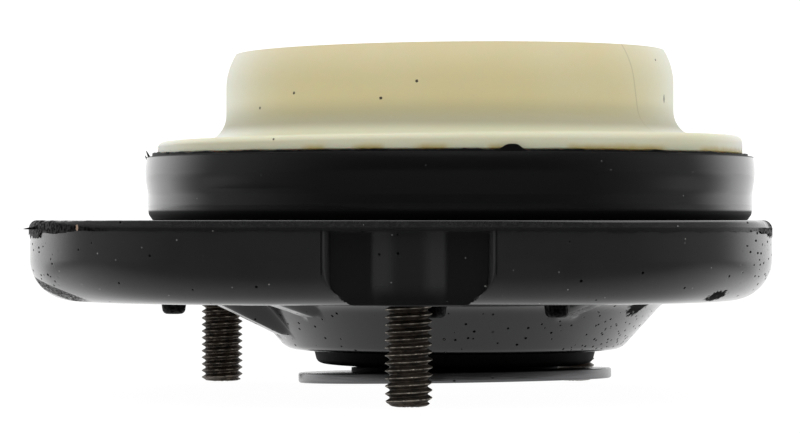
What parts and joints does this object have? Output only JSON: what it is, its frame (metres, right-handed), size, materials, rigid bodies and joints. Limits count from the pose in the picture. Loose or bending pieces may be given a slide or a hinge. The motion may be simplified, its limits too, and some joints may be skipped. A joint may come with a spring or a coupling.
{
  "type": "strut mount",
  "caption": "Suspension strut top mount: rubber-moulded plate with studs and a cone, a bush for the piston rod, and a ball thrust bearing that carries a cream spring guide.",
  "frame": {"origin": "on the piston rod's axis, in the plane of the mounting face that bears on the body", "axes": "+Z along the rod's axis towards the spring, -Y towards the plate's front recess, +X to the right of that"},
  "size_m": [0.1292, 0.1188, 0.061],
  "materials": {
    "jacket_rubber": "satin moulded rubber with flash and pits",
    "bush_rubber": "matt moulded rubber",
    "seal_rubber": "matt rubber",
    "pressed_steel": "pressed steel with a light oil film",
    "stud_steel": "brown-black phosphated rolled thread",
    "disc_steel": "black coated steel",
    "case_plastic": "satin black moulding",
    "bearing_steel": "ground bearing steel",
    "cage_plastic": "moulded nylon",
    "guide_nylon": "natural cream nylon, slightly waxy"
  },
  "bodies": {
    "mount": {"rubber_jacket": "jacket_rubber", "carrier_plate": "pressed_steel", "stud_front": "stud_steel", "stud_left": "stud_steel", "stud_right": "stud_steel", "seat_ring": "pressed_steel", "bush_rubber": "bush_rubber", "inner_sleeve": "pressed_steel", "rebound_disc": "disc_steel", "stop_washer": "pressed_steel", "bearing_case": "case_plastic", "fixed_race": "bearing_steel", "outer_seal": "seal_rubber", "inner_seal": "seal_rubber"},
    "guide": {"spring_guide": "guide_nylon", "turning_race": "bearing_steel"},
    "cage": {"ball_cage": "cage_plastic", "balls": "bearing_steel"}
  },
  "joints": [
    {"name": "guide_spin", "type": "hinge", "parent": "mount", "child": "guide", "pos_m": [0, 0, 0.0198], "axis": [0, 0, 1], "continuous": true},
    {"name": "cage_spin", "type": "hinge", "parent": "mount", "child": "cage", "pos_m": [0, 0, 0.0198], "axis": [0, 0, 1], "continuous": true}
  ],
  "couplings": [
    {"joint": "cage_spin", "follows": "guide_spin", "ratio": 0.5}
  ]
}
